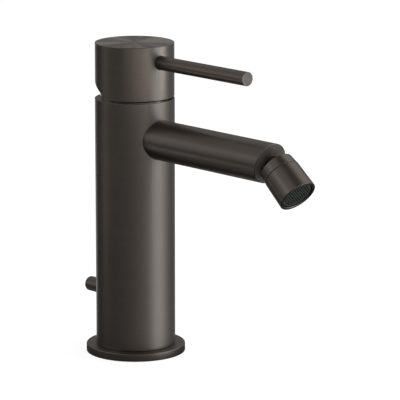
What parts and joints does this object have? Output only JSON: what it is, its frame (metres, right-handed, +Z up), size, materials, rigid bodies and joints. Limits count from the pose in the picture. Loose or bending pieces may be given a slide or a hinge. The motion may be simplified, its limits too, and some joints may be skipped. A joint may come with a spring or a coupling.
{
  "type": "bidet mixer",
  "caption": "Single-lever deck bidet mixer: round column on a flange, pin lever cap, straight spout with a tilting spray head, pull knob for the waste.",
  "frame": {"origin": "centre of the base flange's underside, on the deck", "axes": "+Z up along the column, -Y forward along the spout and the lever, +X to the right for someone who faces the spout"},
  "size_m": [0.05, 0.1592, 0.158],
  "materials": {
    "gunmetal": "dark brushed coating, satin",
    "brass": "machined",
    "steel": "machined",
    "copper": "drawn tube",
    "rubber": "matt",
    "nylon": "moulded",
    "ceramic": "lapped ceramic",
    "dark_plastic": "moulded, satin"
  },
  "bodies": {
    "root": {"base_flange": "gunmetal", "column": "gunmetal", "spout": "gunmetal", "foot_block": "brass", "valve_block": "brass", "cartridge_nut": "brass", "spout_nipple": "brass", "column_screw": "steel", "dome_ring": "steel", "hot_riser": "copper", "cold_riser": "copper", "base_gasket": "rubber", "riser_o_rings": "rubber", "cartridge_seals": "rubber", "spout_o_ring": "rubber", "cartridge_base": "nylon", "cartridge_housing": "nylon", "rod_bush": "nylon", "fixed_disc": "ceramic"},
    "rotor": {"cartridge_rotor": "nylon", "spindle_pin": "steel"},
    "handle": {"spindle": "steel", "handle_cap": "gunmetal", "lever_pin": "gunmetal", "handle_screw": "steel"},
    "disc_slider": {"disc_carrier": "nylon", "moving_disc": "ceramic"},
    "ball": {"ball_stud": "gunmetal", "stud_o_ring": "rubber", "stud_nut": "brass"},
    "spray_head": {"nozzle_collar": "gunmetal", "ball_seat": "nylon", "seat_o_ring": "rubber", "nozzle_shell": "gunmetal", "aerator_washer": "rubber", "aerator_housing": "dark_plastic", "aerator_screen": "steel", "aerator_grille": "dark_plastic"},
    "waste_pull": {"pull_rod": "steel", "knob_stem": "steel", "waste_knob": "gunmetal"}
  },
  "joints": [
    {"name": "handle_turn", "type": "hinge", "parent": "root", "child": "rotor", "pos_m": [0, 0, 0.134], "axis": [0, 0, 1], "range_deg": [-45, 45]},
    {"name": "handle_lift", "type": "hinge", "parent": "rotor", "child": "handle", "pos_m": [0, 0, 0.134], "axis": [-1, 0, 0], "range_deg": [0, 25]},
    {"name": "disc_slide", "type": "slide", "parent": "rotor", "child": "disc_slider", "axis": [0, -1, 0], "range_m": [0, 0.0035]},
    {"name": "head_swivel", "type": "hinge", "parent": "root", "child": "ball", "pos_m": [0, -0.1036, 0.1095], "axis": [0, -0.9659, -0.2588], "range_deg": [-90, 90]},
    {"name": "head_tilt", "type": "hinge", "parent": "ball", "child": "spray_head", "pos_m": [0, -0.1036, 0.1095], "axis": [-1, 0, 0], "range_deg": [0, 50]},
    {"name": "waste_lift", "type": "slide", "parent": "root", "child": "waste_pull", "axis": [0, 0, 1], "range_m": [0, 0.018]}
  ],
  "couplings": [
    {"joint": "disc_slide", "follows": "handle_lift", "m_per_rad": 0.007894}
  ]
}
